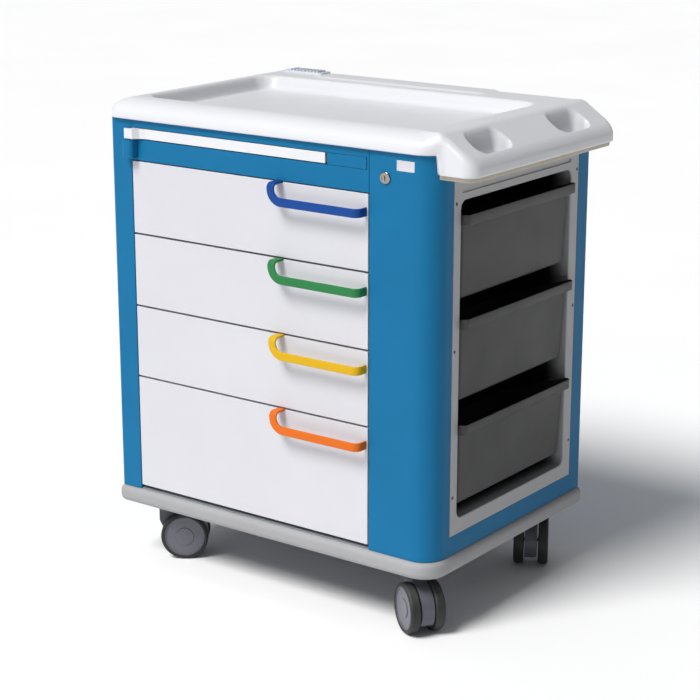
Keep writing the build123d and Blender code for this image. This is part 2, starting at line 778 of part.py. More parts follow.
def grip_outline(start, inset, radius):
    """The edges of the push handle's plan, drawn in by an amount from its full size."""
    front = FRONT + HANDLE_INSET + inset
    back = BACK - HANDLE_INSET - inset
    end = RIGHT + HANDLE_REACH - inset
    with BuildLine(mode=Mode.PRIVATE) as outline:
        FilletPolyline(
            (start, front), (end, front), (end, back), (start, back),
            radius=[4, radius, radius, 4],
            close=True,
        )
    return outline.edges()


def make_grip():
    """The block of the push handle, with its sloping top and soft upper edges."""
    skirt_foot = TRAY_BOTTOM - HANDLE_SKIRT
    end = RIGHT + HANDLE_REACH
    with BuildPart() as grip:
        with BuildSketch(Plane.XY.offset(skirt_foot)):
            make_face(grip_outline(RIGHT - GRIP_OVERLAP, 0, GRIP_CORNER))
        extrude(amount=HANDLE_SKIRT + RIM_HEIGHT)
        with BuildSketch(Plane.XZ.offset(-MIDDLE_Y)):
            with BuildLine():
                Polyline(
                    (SLOPE_START, RIM_TOP),
                    (end + 10, handle_slope(end + 10)),
                    (end + 10, RIM_TOP + 10),
                    (SLOPE_START, RIM_TOP + 10),
                    (SLOPE_START, RIM_TOP),
                )
            make_face()
        extrude(amount=CABINET_DEPTH, both=True, mode=Mode.SUBTRACT)
        upper = grip.edges().filter_by_position(Axis.Z, skirt_foot + 1, RIM_TOP + 1)
        upper = upper.filter_by(lambda edge: abs(edge.tangent_at(0.5).Z) < 0.99)
        inner = upper.filter_by(lambda edge: abs(edge.tangent_at(0.5).Y) > 0.99 and edge.center().X < RIGHT)
        fillet(upper - inner, radius=GRIP_EDGE)
    return grip.part


def make_tray():
    """The white moulded top: a rounded rim round a sunk well, with the sloped push handle on the right."""
    left = LEFT - TRAY_OVERHANG
    right = RIGHT + TRAY_OVERHANG
    front = FRONT - TRAY_OVERHANG
    back = BACK + TRAY_OVERHANG
    front_corner = 30
    grip_side_corner = 53
    well_edge = 42
    well_back = FRONT + 442
    well_slope = 24
    well_foot = well_edge + well_slope
    pad_middle = (LEFT + 370, BACK - 60)
    underside_inset = 25
    grip = make_grip()
    with BuildPart() as top_tray:
        with BuildSketch(Plane.XY.offset(TRAY_BOTTOM)):
            with BuildLine():
                FilletPolyline(
                    (left, front), (right, front), (right, back), (left, back),
                    radius=[front_corner, grip_side_corner, grip_side_corner, front_corner],
                    close=True,
                )
            make_face()
        extrude(amount=RIM_HEIGHT)
        fillet(top_tray.faces().sort_by(Axis.Z)[-1].edges(), radius=RIM_RADIUS)
        add(grip)
        # The skirt of the handle stays outside the right column.
        with BuildSketch(Plane.XY.offset(TRAY_BOTTOM - HANDLE_SKIRT)):
            make_face(body_outline(1.2))
        extrude(amount=HANDLE_SKIRT, mode=Mode.SUBTRACT)
        # The well, with sloping walls, and the flat ledge left behind it.
        with BuildSketch(Plane.XY.offset(TRAY_BOTTOM + TRAY_FLOOR)):
            with BuildLine():
                FilletPolyline(
                    (LEFT + well_foot, FRONT + well_foot), (RIGHT - well_foot, FRONT + well_foot),
                    (RIGHT - well_foot, well_back - well_slope), (LEFT + well_foot, well_back - well_slope),
                    radius=26,
                    close=True,
                )
            make_face()
        with BuildSketch(Plane.XY.offset(RIM_TOP)):
            with BuildLine():
                FilletPolyline(
                    (LEFT + well_edge, FRONT + well_edge), (RIGHT - well_edge, FRONT + well_edge),
                    (RIGHT - well_edge, well_back), (LEFT + well_edge, well_back),
                    radius=46,
                    close=True,
                )
            make_face()
        loft(mode=Mode.SUBTRACT)
        # The two hand-holes in the grip face.
        for y in (MIDDLE_Y - HAND_HOLE_SPREAD / 2, MIDDLE_Y + HAND_HOLE_SPREAD / 2):
            with BuildSketch(Plane.XY.offset(TRAY_BOTTOM - 18)):
                with Locations((RIGHT + HAND_HOLE_MIDDLE, y)):
                    RectangleRounded(HAND_HOLE_WIDTH - 16, HAND_HOLE_LENGTH - 20, 10)
            extrude(amount=70, taper=-8, mode=Mode.SUBTRACT)
        # The hollow underside.
        with BuildSketch(Plane.XY.offset(TRAY_BOTTOM)):
            with Locations((MIDDLE_X, MIDDLE_Y)):
                RectangleRounded(CABINET_WIDTH - 2 * underside_inset, CABINET_DEPTH - 2 * underside_inset, 30)
        extrude(amount=TRAY_FLOOR - 4, mode=Mode.SUBTRACT)
        # A low raised pad on the rear ledge.
        with BuildSketch(Plane.XY.offset(RIM_TOP - 1)):
            with Locations(pad_middle):
                RectangleRounded(430, 66, 12)
        extrude(amount=4)
    finish(top_tray, "top_tray")


def make_handle_lower_shell():
    """The cream closing shell under the push handle."""
    with BuildPart() as handle_lower_shell:
        with BuildSketch(Plane.XY.offset(TRAY_BOTTOM - HANDLE_SKIRT)):
            make_face(grip_outline(RIGHT - 12, 6, 22))
            make_face(body_outline(1.5), mode=Mode.SUBTRACT)
        extrude(amount=-9)
        fillet(handle_lower_shell.faces().sort_by(Axis.Z)[0].edges().group_by(Axis.X)[-1], radius=3)
    finish(handle_lower_shell, "handle_lower_shell")


def make_rear_clip():
    """The ridged finger clip at the left end of the tray's rear ledge."""
    length = 104
    with BuildPart() as rear_clip:
        with BuildSketch(Plane.XY.offset(RIM_TOP)):
            with Locations((LEFT + 100, BACK - 40)):
                RectangleRounded(length, 38, 8)
        extrude(amount=4)
        for step in range(9):
            with BuildSketch(Plane.XY.offset(RIM_TOP + 4)):
                with Locations((LEFT + 64 + step * 9, BACK - 40)):
                    RectangleRounded(4.5, 30, 2)
            extrude(amount=3)
    finish(rear_clip, "rear_clip")


# ---------------------------------------------------------------- lock


def make_lock():
    """The chrome barrel in the column, the turning plug with its cam, and the bar that the cam lifts."""
    barrel_radius = 9
    plug_radius = 6.5
    depth = 26
    centre = (LEFT + LOCK_X, BASE + LOCK_Z)
    with BuildPart() as lock_barrel:
        with BuildSketch(Plane.XZ.offset(-FRONT)):
            with Locations(centre):
                Circle(LOCK_RADIUS)
        extrude(amount=3.5)
        fillet(lock_barrel.faces().sort_by(Axis.Y)[0].edges(), radius=2)
        with BuildSketch(Plane.XZ.offset(-FRONT)):
            with Locations(centre):
                Circle(barrel_radius)
        extrude(amount=-depth)
        with BuildSketch(Plane.XZ.offset(-(FRONT - 4))):
            with Locations(centre):
                Circle(plug_radius + FIT)
        extrude(amount=-depth - 5, mode=Mode.SUBTRACT)
    finish(lock_barrel, "lock_barrel")

    arm_back = FRONT + depth + 5
    with BuildPart() as lock_plug:
        with BuildSketch(Plane.XZ.offset(-(FRONT - 3))):
            with Locations(centre):
                Circle(plug_radius)
        extrude(amount=-depth - 5)
        block(
            (centre[0] - 0.9, centre[0] + 0.9),
            (FRONT - 4, FRONT + 5),
            (centre[1] - 4, centre[1] + 4),
            Mode.SUBTRACT,
        )
        block((centre[0] - 15, centre[0] + 5), (FRONT + depth + 1, arm_back), (centre[1] - 4, centre[1] + 4))
        with BuildSketch(Plane.XZ.offset(-arm_back)):
            with Locations((centre[0] - LOCK_TRAVEL, centre[1])):
                Circle(2)
        extrude(amount=-6)
    finish(lock_plug, "lock_plug")

    bar_x = (PARTITION_FACE + SHEET + 1.5, PARTITION_FACE + SHEET + 5.5)
    bar_y = (FRONT + 34, FRONT + 37)
    with BuildPart() as lock_bar:
        block(bar_x, (bar_y[0], bar_y[0] + 12), (BODY_BOTTOM + 14, centre[1] + 14))
        block((bar_x[0], centre[0] + 8), bar_y, (centre[1] - 17, centre[1] + 14))
        block(
            (centre[0] - LOCK_TRAVEL - 4, centre[0] + 4),
            (bar_y[0] - 1, bar_y[1] + 1),
            (centre[1] - 4, centre[1] + 6),
            Mode.SUBTRACT,
        )
        for level in lock_tab_levels():
            block((PARTITION_FACE - 6, bar_x[0]), (bar_y[0], bar_y[0] + 5), (level, level + 6))
    finish(lock_bar, "lock_bar")


# ---------------------------------------------------------------- castors


def castor_plane(name):
    """A castor's own frame: on the floor under its swivel, with local X along its trail."""
    x, y, trail = CASTORS[name]
    return Plane(origin=(x, y, 0), x_dir=(cos(radians(trail)), sin(radians(trail)), 0), z_dir=(0, 0, 1))


def make_castor_plates():
    """The fixed swivel plates under the chassis, each with a bearing boss and a bore for the stem."""
    with BuildPart() as castor_plates:
        for x, y, trail in CASTORS.values():
            with BuildSketch(Plane.XY.offset(BASE)):
                with Locations((x, y)):
                    Circle(31)
            extrude(amount=-4)
            with BuildSketch(Plane.XY.offset(BASE - 4)):
                with Locations((x, y)):
                    Circle(20)
            extrude(amount=-8)
        for x, y, trail in CASTORS.values():
            with BuildSketch(Plane.XY.offset(BASE)):
                with Locations((x, y)):
                    Circle(STEM_RADIUS + FIT)
            extrude(amount=-12, mode=Mode.SUBTRACT)
    finish(castor_plates, "castor_plates")


def make_castor(name):
    """One castor: its swivelling housing, its two hub discs on an axle, its two tyres, and a brake pedal if it has one."""
    frame = castor_plane(name)
    upright = Plane(origin=frame.origin, x_dir=frame.x_dir, z_dir=-frame.y_dir)
    half = WHEEL_GAP - 2
    cap_top = BASE - 12.5
    with BuildPart() as castor_body:
        with BuildSketch(upright):
            with BuildLine():
                start = Line((CASTOR_TRAIL - 30, 24), (CASTOR_TRAIL + 37, 24))
                back = ThreePointArc(start @ 1, (CASTOR_TRAIL + 47, WHEEL_RADIUS), (CASTOR_TRAIL + 20, WHEEL_RADIUS + 43))
                roof = Line(back @ 1, (CASTOR_TRAIL - 6, cap_top - 6))
                Line(roof @ 1, (-22, cap_top - 6))
                Line((-22, cap_top - 6), (-22, 80))
                Line((-22, 80), (CASTOR_TRAIL - 30, 24))
            make_face()
        extrude(amount=half, both=True)
        with BuildSketch(frame.offset(cap_top - 6)):
            Circle(25)
        extrude(amount=6)
        with BuildSketch(frame.offset(cap_top)):
            Circle(STEM_RADIUS)
        extrude(amount=12)
        if name in BRAKED:
            with BuildSketch(upright):
                with Locations((PEDAL_START, (WHEEL_RADIUS + 46 + BASE - 10) / 2)):
                    Rectangle(8, BASE - 10 - WHEEL_RADIUS - 40)
            extrude(amount=12.5, both=True)
            with BuildSketch(upright):
                with Locations((PEDAL_START, BASE - 13)):
                    Rectangle(14, 18)
            extrude(amount=9, both=True, mode=Mode.SUBTRACT)
            with BuildSketch(upright):
                with Locations((PEDAL_START, BASE - 14)):
                    Circle(2)
            extrude(amount=12.5, both=True)
        with BuildSketch(upright):
            with Locations((CASTOR_TRAIL, WHEEL_RADIUS)):
                Circle(AXLE_RADIUS + FIT)
        extrude(amount=half + 5, both=True, mode=Mode.SUBTRACT)
    finish(castor_body, f"castor_body_{name}")

    hub_face = WHEEL_OUTSIDE - 1.5
    with BuildPart() as castor_hubs:
        with BuildSketch(upright):
            with Locations((CASTOR_TRAIL, WHEEL_RADIUS)):
                Circle(AXLE_RADIUS)
        extrude(amount=WHEEL_GAP + 2, both=True)
        for side in (-1, 1):
            with BuildSketch(upright.offset(side * WHEEL_GAP)):
                with Locations((CASTOR_TRAIL, WHEEL_RADIUS)):
                    Circle(HUB_RADIUS)
            extrude(amount=side * (hub_face - WHEEL_GAP))
            with BuildSketch(upright.offset(side * (hub_face - 1.5))):
                with Locations((CASTOR_TRAIL, WHEEL_RADIUS)):
                    Circle(HUB_RADIUS - 3)
                    Circle(19, mode=Mode.SUBTRACT)
            extrude(amount=side * 3, mode=Mode.SUBTRACT)
    finish(castor_hubs, f"castor_hubs_{name}")

    with BuildPart() as castor_tyres:
        for side in (-1, 1):
            with BuildSketch(upright.offset(side * WHEEL_GAP)):
                with Locations((CASTOR_TRAIL, WHEEL_RADIUS)):
                    Circle(WHEEL_RADIUS)
            extrude(amount=side * (WHEEL_OUTSIDE - WHEEL_GAP))
        fillet(castor_tyres.edges().filter_by(GeomType.CIRCLE), radius=5)
        with BuildSketch(upright):
            with Locations((CASTOR_TRAIL, WHEEL_RADIUS)):
                Circle(HUB_RADIUS)
        extrude(amount=WHEEL_OUTSIDE + 1, both=True, mode=Mode.SUBTRACT)
    finish(castor_tyres, f"castor_tyres_{name}")

    if name in BRAKED:
        make_brake_pedal(name, upright)


def make_brake_pedal(name, upright):
    """The foot pedal over a braked castor's wheels, turning on a pin between two ears."""
    pivot = (PEDAL_START, BASE - 14)
    slope = 0.3
    with BuildPart() as brake_pedal:
        with BuildSketch(upright):
            with BuildLine():
                near = (PEDAL_START + 7.5, BASE - 15)
                far = (PEDAL_END, BASE - 15 - slope * (PEDAL_END - PEDAL_START - 7.5))
                Polyline(near, far, (far[0] + 1, far[1] + 4), (near[0], near[1] + 4.5), near)
            make_face()
        extrude(amount=16, both=True)
        with BuildSketch(upright):
            with Locations(pivot):
                Circle(4)
            with Locations((PEDAL_START + 4, BASE - 13)):
                Rectangle(9, 4)
        extrude(amount=8, both=True)
        with BuildSketch(upright):
            with Locations(pivot):
                Circle(2 + FIT)
        extrude(amount=9, both=True, mode=Mode.SUBTRACT)
    finish(brake_pedal, f"brake_pedal_{name}")


if __name__ == "__main__":
    make_bumper()
    make_base_frame()
    make_base_deck()
    make_left_shell()
    make_right_shell()
    make_back_panel()
    make_liners()
    make_top_rail()
    make_slot_blanking_plate()
    make_shelf_catch()
    make_shelf()
    make_shelf_runners()
    make_fixed_rails()
    for drawer in range(DRAWER_COUNT):
        make_moving_rails(drawer)
        make_drawer_front(drawer)
        make_drawer_box(drawer)
        make_drawer_handle(drawer)
    make_bin_surround()
    make_surround_screws()
    for side_bin in range(len(BIN_TOPS)):
        make_bin(side_bin)
    make_tray()
    make_handle_lower_shell()
    make_rear_clip()
    make_lock()
    make_castor_plates()
    for castor in CASTORS:
        make_castor(castor)
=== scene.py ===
import json
import math

import bmesh
import bpy
import numpy as np
from mathutils import Matrix, Vector


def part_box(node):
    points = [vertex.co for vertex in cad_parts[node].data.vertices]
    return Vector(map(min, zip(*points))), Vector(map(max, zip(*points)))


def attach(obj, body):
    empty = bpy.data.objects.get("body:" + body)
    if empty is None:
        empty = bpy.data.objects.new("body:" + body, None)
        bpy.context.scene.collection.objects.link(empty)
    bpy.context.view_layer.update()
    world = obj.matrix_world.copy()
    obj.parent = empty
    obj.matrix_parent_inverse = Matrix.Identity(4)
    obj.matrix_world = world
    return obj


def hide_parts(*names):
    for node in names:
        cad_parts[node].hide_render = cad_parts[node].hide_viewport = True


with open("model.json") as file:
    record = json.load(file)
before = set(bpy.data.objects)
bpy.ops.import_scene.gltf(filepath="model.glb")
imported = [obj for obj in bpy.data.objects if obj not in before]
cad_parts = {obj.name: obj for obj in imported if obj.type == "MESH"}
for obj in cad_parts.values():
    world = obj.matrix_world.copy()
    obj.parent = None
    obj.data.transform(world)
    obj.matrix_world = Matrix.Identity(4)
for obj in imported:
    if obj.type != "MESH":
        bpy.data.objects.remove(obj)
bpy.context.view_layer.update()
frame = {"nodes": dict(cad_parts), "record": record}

# The look of a wheeled ward cabinet, in metres. The moulded tray, the strap handles, the side bins and the
# label plate are built here. Every other piece is the CAD's own shape with a procedural finish.

NODES = frame["nodes"]
SLOT_OF = {part["node"]: part["material_slot"] for part in frame["record"]["subparts"]}
MM = 0.001

SHELL_LOW, SHELL_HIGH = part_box("left_shell")
COLUMN_LOW, COLUMN_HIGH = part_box("right_shell")
BUMPER_LOW, BUMPER_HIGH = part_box("base_bumper")
TRAY_LOW, TRAY_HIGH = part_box("top_tray")

# The cabinet's own corner: left face, front face, foot of the bumper.
# The tray, bins, label plate and camera are placed in millimetres from here, and at() gives metres.
CORNER = Vector((SHELL_LOW.x, SHELL_LOW.y, BUMPER_LOW.z))


def at(x, y, z):
    """A place given in millimetres from the cabinet's corner, in the shared frame."""
    return CORNER + Vector((x, y, z)) * MM


# ---------------------------------------------------------------- materials


def new_node(tree, kind, **values):
    """A shader node with some of its settings and inputs set by name."""
    node = tree.nodes.new(kind)
    for key, value in values.items():
        if hasattr(node, key):
            setattr(node, key, value)
        else:
            node.inputs[key.replace("_", " ")].default_value = value
    return node


def noise(tree, coords, scale, detail=3.0, rough=0.5, stretch=None):
    """A noise pattern in object coordinates, stretched along an axis where asked."""
    node = new_node(tree, "ShaderNodeTexNoise", Scale=scale, Detail=detail, Roughness=rough)
    source = coords
    if stretch:
        mapping = new_node(tree, "ShaderNodeMapping")
        mapping.inputs["Scale"].default_value = stretch
        tree.links.new(coords, mapping.inputs["Vector"])
        source = mapping.outputs["Vector"]
    tree.links.new(source, node.inputs["Vector"])
    return node.outputs["Fac"]


def ranged(tree, value, low, high, out_low, out_high):
    """A value mapped from one range to another, held at the ends."""
    node = new_node(tree, "ShaderNodeMapRange")
    node.clamp = True
    tree.links.new(value, node.inputs["Value"])
    node.inputs["From Min"].default_value = low
    node.inputs["From Max"].default_value = high
    node.inputs["To Min"].default_value = out_low
    node.inputs["To Max"].default_value = out_high
    return node.outputs["Result"]


def maths(tree, operation, a, b):
    """An operation on two values, each a socket or a number, with its result held between 0 and 1."""
    node = new_node(tree, "ShaderNodeMath", operation=operation, use_clamp=True)
    for socket, value in zip(node.inputs, (a, b)):
        if isinstance(value, (int, float)):
            socket.default_value = value
        else:
            tree.links.new(value, socket)
    return node.outputs["Value"]


def mixed(tree, factor, a, b):
    """Two colours mixed by a factor, each a socket or an RGB value."""
    node = new_node(tree, "ShaderNodeMix", data_type="RGBA")
    tree.links.new(factor, node.inputs["Factor"])
    for name, value in (("A", a), ("B", b)):
        socket = [s for s in node.inputs if s.name == name and s.type == "RGBA"][0]
        if isinstance(value, tuple):
            socket.default_value = (*value, 1.0)
        else:
            tree.links.new(value, socket)
    return [s for s in node.outputs if s.type == "RGBA"][0]


def shade(colour, amount):
    """A colour made lighter or darker."""
    return tuple(min(1.0, channel * amount) for channel in colour)


DUST_COLOUR = (0.52, 0.50, 0.46)
COAT_ROUGHNESS = 0.12
GRAIN_SCALE = 900.0
GRAIN_SHADE = 0.72
GLOSS_VARIATION = 0.22
WORN_EDGE_WIDTH = 2.2


def surface(
    name, colour, rough, metal=0.0, coat=0.0, mottle=0.05, mottle_scale=4.0, peel=(500.0, 0.05),
    scratch=0.10, wear=0.0, wear_colour=(0.75, 0.76, 0.78), dust=0.0, brush=None, edge=0.8, spec=0.5,
    inside=None,
):
    """A procedural finish: uneven colour, fine texture, faint scratches, softened edges, wear and dust.

    mottle is how far the colour strays. peel is the relief's scale and its height in millimetres, and brush
    stretches it. edge is the width in millimetres over which edges look rounded. inside is a painted shade
    colour and the two places in X, in metres, between which it gives way to the outer one.
    """
    material = bpy.data.materials.new(name)
    material.use_nodes = True
    tree = material.node_tree
    shader = tree.nodes["Principled BSDF"]
    shader.inputs["Metallic"].default_value = metal
    shader.inputs["Coat Weight"].default_value = coat
    shader.inputs["Coat Roughness"].default_value = COAT_ROUGHNESS
    shader.inputs["Specular IOR Level"].default_value = spec
    coords = new_node(tree, "ShaderNodeTexCoord").outputs["Object"]

    # Colour, slightly uneven at a large and a small scale.
    broad = ranged(tree, noise(tree, coords, mottle_scale, 4.0, 0.6), 0.3, 0.7, 0.0, 1.0)
    base = mixed(tree, broad, shade(colour, 1 - mottle), shade(colour, 1 + mottle))
    grain = ranged(tree, noise(tree, coords, GRAIN_SCALE, 2.0), 0.35, 0.65, 0.0, 0.06)
    base = mixed(tree, grain, base, shade(colour, GRAIN_SHADE))

    # Painted shade inside a housing's recess, darkest deep in and fading out from a depth in X towards the
    # face.
    if inside:
        painted_shade_colour, deep_x, face_x = inside
        across = new_node(tree, "ShaderNodeSeparateXYZ")
        tree.links.new(coords, across.inputs[0])
        depth = ranged(tree, across.outputs["X"], deep_x, face_x, 1.0, 0.0)
        base = mixed(tree, depth, base, painted_shade_colour)

    # Fine scratches, seen mostly in the gloss.
    hair_a = noise(tree, coords, 26.0, 2.0, 0.6, (1.0, 26.0, 26.0))
    hair_b = noise(tree, coords, 30.0, 2.0, 0.6, (24.0, 24.0, 1.0))
    hair_a = ranged(tree, hair_a, 0.66, 0.72, 0.0, 1.0)
    hair_b = ranged(tree, hair_b, 0.68, 0.74, 0.0, 1.0)
    hairs = maths(tree, "MAXIMUM", hair_a, hair_b)
    patch = ranged(tree, noise(tree, coords, 9.0, 3.0), 0.45, 0.65, 0.0, 1.0)
    hairs = maths(tree, "MULTIPLY", hairs, patch)
    smudge = ranged(tree, noise(tree, coords, 14.0, 3.0, 0.5), 0.25, 0.75, -0.5, 0.5)
    gloss = new_node(tree, "ShaderNodeMath", operation="MULTIPLY_ADD")
    tree.links.new(smudge, gloss.inputs[0])
    gloss.inputs[1].default_value = rough * GLOSS_VARIATION
    gloss.inputs[2].default_value = rough
    roughness = maths(tree, "ADD", gloss.outputs["Value"], maths(tree, "MULTIPLY", hairs, scratch))

    # Edges: rubbed lighter where hands and trolleys touch.
    if wear:
        wide = new_node(tree, "ShaderNodeBevel", samples=4)
        wide.inputs["Radius"].default_value = WORN_EDGE_WIDTH * MM
        geometry = new_node(tree, "ShaderNodeNewGeometry")
        dot = new_node(tree, "ShaderNodeVectorMath", operation="DOT_PRODUCT")
        tree.links.new(wide.outputs["Normal"], dot.inputs[0])
        tree.links.new(geometry.outputs["Normal"], dot.inputs[1])
        edges = ranged(tree, dot.outputs["Value"], 0.96, 0.80, 0.0, 1.0)
        broken = ranged(tree, noise(tree, coords, 60.0, 5.0, 0.7), 0.5, 0.62, 0.0, wear)
        worn = maths(tree, "MULTIPLY", edges, broken)
        base = mixed(tree, worn, base, wear_colour)
        roughness = maths(tree, "ADD", roughness, maths(tree, "MULTIPLY", worn, 0.15))

    # Dust settles on what faces up.
    if dust:
        geometry = new_node(tree, "ShaderNodeNewGeometry")
        split = new_node(tree, "ShaderNodeSeparateXYZ")
        tree.links.new(geometry.outputs["Normal"], split.inputs[0])
        facing = ranged(tree, split.outputs["Z"], 0.2, 1.0, 0.0, dust)
        cloud = ranged(tree, noise(tree, coords, 30.0, 6.0, 0.7), 0.3, 0.7, 0.2, 1.0)
        settled = maths(tree, "MULTIPLY", facing, cloud)
        base = mixed(tree, settled, base, DUST_COLOUR)
        roughness = maths(tree, "ADD", roughness, maths(tree, "MULTIPLY", settled, 0.4))

    # Relief: orange peel, moulded grain or brush lines, over slightly rounded edges.
    height = noise(tree, coords, peel[0], 2.0, 0.5, brush)
    bump = new_node(tree, "ShaderNodeBump")
    bump.inputs["Strength"].default_value = 1.0
    bump.inputs["Distance"].default_value = peel[1] * MM
    tree.links.new(height, bump.inputs["Height"])
    if edge:
        round_edge = new_node(tree, "ShaderNodeBevel", samples=4)
        round_edge.inputs["Radius"].default_value = edge * MM
        tree.links.new(round_edge.outputs["Normal"], bump.inputs["Normal"])
    tree.links.new(bump.outputs["Normal"], shader.inputs["Normal"])
    tree.links.new(base, shader.inputs["Base Color"])
    tree.links.new(roughness, shader.inputs["Roughness"])
    return material


# Painted shade inside the bin housing: its near-black colour, and the places in X from deep inside to near the
# face over which it fades out.
HOUSING_PAINTED_SHADE = (0.012, 0.012, 0.013)
HOUSING_SHADE_FROM = COLUMN_HIGH.x - 0.045
HOUSING_SHADE_TO = COLUMN_HIGH.x - 0.012
# The four strap handles share one finish and differ in colour.
HANDLE_FINISH = {"rough": 0.34, "peel": (500.0, 0.02), "edge": 0.0, "spec": 0.2}

FINISHES = {
    "chassis_steel": {"colour": (0.10, 0.105, 0.11), "rough": 0.45, "dust": 0.25, "wear": 0.3},
    "deck_steel": {"colour": (0.20, 0.22, 0.25), "rough": 0.42, "dust": 0.15},
    "bumper_grey": {
        "colour": (0.325, 0.325, 0.335), "rough": 0.6, "peel": (900.0, 0.05), "scratch": 0.25, "dust": 0.06,
        "edge": 0.0,
    },
    "blue_steel": {
        "colour": (0.006, 0.142, 0.305), "rough": 0.40, "peel": (420.0, 0.035), "wear": 0.3,
        "wear_colour": (0.10, 0.30, 0.48), "edge": 0.7, "spec": 0.12,
    },
    # Painted shade: the white moulding's own white is darkened well below the other whites to stand for the
    # shade on the bins' side, and darker still inside its recess.
    "white_moulding": {
        "colour": (0.37, 0.375, 0.39), "rough": 0.5, "peel": (700.0, 0.03), "scratch": 0.2, "mottle": 0.03,
        "inside": (HOUSING_PAINTED_SHADE, HOUSING_SHADE_FROM, HOUSING_SHADE_TO),
    },
    "tray_white": {
        "colour": (0.665, 0.67, 0.70), "rough": 0.36, "peel": (260.0, 0.012), "mottle": 0.012, "spec": 0.35,
        "edge": 0.0,
    },
    "cream_plastic": {"colour": (0.46, 0.41, 0.32), "rough": 0.5, "peel": (700.0, 0.06)},
    "clip_plastic": {"colour": (0.70, 0.74, 0.80), "rough": 0.22, "coat": 0.3, "peel": (500.0, 0.02)},
    "zinc_steel": {
        "colour": (0.62, 0.63, 0.65), "rough": 0.34, "metal": 1.0, "peel": (700.0, 0.02),
        "brush": (1.0, 0.04, 1.0), "mottle": 0.10, "mottle_scale": 40.0,
    },
    "chrome": {
        "colour": (0.34, 0.32, 0.29), "rough": 0.16, "metal": 1.0, "peel": (300.0, 0.004), "mottle": 0.03,
        "edge": 0.4,
    },
    "shelf_white": {"colour": (0.68, 0.69, 0.71), "rough": 0.40, "peel": (600.0, 0.03), "scratch": 0.2},
    "drawer_white": {
        "colour": (0.585, 0.585, 0.62), "rough": 0.36, "coat": 0.1, "peel": (420.0, 0.03), "mottle": 0.02,
        "wear": 0.25, "wear_colour": (0.55, 0.56, 0.57), "edge": 0.7,
    },
    "drawer_inside": {"colour": (0.56, 0.58, 0.60), "rough": 0.42, "peel": (420.0, 0.03), "dust": 0.08},
    "handle_blue": {"colour": (0.004, 0.052, 0.25), **HANDLE_FINISH},
    "handle_green": {"colour": (0.022, 0.185, 0.055), **HANDLE_FINISH},
    "handle_yellow": {"colour": (0.62, 0.37, 0.006), **HANDLE_FINISH},
    "handle_orange": {"colour": (0.66, 0.135, 0.008), **HANDLE_FINISH},
    "bin_grey": {
        "colour": (0.052, 0.052, 0.053), "rough": 0.46, "peel": (800.0, 0.05), "scratch": 0.2, "mottle": 0.06,
        "dust": 0.05, "edge": 0.9, "spec": 0.25,
    },
    "castor_grey": {"colour": (0.085, 0.088, 0.11), "rough": 0.42, "peel": (700.0, 0.04), "dust": 0.10},
    "hub_grey": {
        "colour": (0.125, 0.128, 0.155), "rough": 0.34, "peel": (500.0, 0.02), "scratch": 0.25, "dust": 0.05,
    },
    "tyre_black": {
        "colour": (0.014, 0.014, 0.015), "rough": 0.58, "peel": (500.0, 0.08), "scratch": 0.2, "mottle": 0.25,
        "dust": 0.10, "edge": 0.0,
    },
    "pedal_black": {"colour": (0.018, 0.018, 0.019), "rough": 0.45, "peel": (700.0, 0.06), "dust": 0.06},
}
MATERIALS = {name: surface(name, **finish) for name, finish in FINISHES.items()}

for node_name, node in NODES.items():
    node.data.materials.clear()
    node.data.materials.append(MATERIALS[SLOT_OF[node_name]])
# Painted shade: the housing's screws are made black for the shade in their counterbores.
NODES["surround_screws"].data.materials.clear()
NODES["surround_screws"].data.materials.append(MATERIALS["pedal_black"])


# ---------------------------------------------------------------- mesh helpers


def mesh_piece(name, vertices, faces, slot, body, smooth_angle=40.0):
    """A new piece from vertices and faces, smooth except at sharp folds, on a body and in a slot."""
    mesh = bpy.data.meshes.new(name)
    mesh.from_pydata([tuple(v) for v in vertices], [], [tuple(int(i) for i in f) for f in faces])
    mesh.validate()
    mesh.shade_smooth()
    mesh.set_sharp_from_angle(angle=math.radians(smooth_angle))
    mesh.materials.append(MATERIALS[slot])
    piece = bpy.data.objects.new(name, mesh)
    bpy.context.scene.collection.objects.link(piece)
    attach(piece, body)
    return piece


def skin(rings):
    """Vertices and faces of a tube over closed rings of equal length, capped at its ends."""
    count = len(rings[0])
    vertices = np.concatenate([np.asarray(ring, float) for ring in rings])
    faces = []
    for k in range(len(rings) - 1):
        for i in range(count):
            j = (i + 1) % count
            faces.append((k * count + i, k * count + j, (k + 1) * count + j, (k + 1) * count + i))
    faces.append(tuple(reversed(range(count))))
    faces.append(tuple(range((len(rings) - 1) * count, len(rings) * count)))
    return vertices, faces


def quarter_turn(steps):
    """Angles from 0 to 90 degrees in even steps."""
    return [math.radians(90 * k / steps) for k in range(steps + 1)]


def smoothstep(low, high, x):
    """Runs smoothly from 0 to 1 as x goes from low to high, flat at both ends."""
    t = np.clip((x - low) / (high - low), 0.0, 1.0)
    return t * t * t * (t * (6.0 * t - 15.0) + 10.0)


def round_box(x, y, x0, x1, y0, y1, radius):
    """Distance to a rounded rectangle's edge, negative inside."""
    dx = np.abs(x - (x0 + x1) / 2) - (x1 - x0) / 2 + radius
    dy = np.abs(y - (y0 + y1) / 2) - (y1 - y0) / 2 + radius
    outside = np.hypot(np.maximum(dx, 0.0), np.maximum(dy, 0.0))
    return outside + np.minimum(np.maximum(dx, dy), 0.0) - radius


# ---------------------------------------------------------------- tray and push handle

# The rim's overhang past the body, and the levels of the moulding above the bumper's foot.
OVERHANG = 8.0
WIDTH = (COLUMN_HIGH.x - SHELL_LOW.x) / MM
DEPTH = (SHELL_HIGH.y - SHELL_LOW.y) / MM
END = (TRAY_HIGH.x - SHELL_LOW.x) / MM
TRAY_FOOT = (SHELL_HIGH.z - BUMPER_LOW.z) / MM
SKIRT_FOOT = (TRAY_LOW.z - BUMPER_LOW.z) / MM
CREST = TRAY_FOOT + 40.0
BREAK = SKIRT_FOOT + 26.0
SLOPE_START = WIDTH - 4.0
CREST_SOFTNESS = 7.0
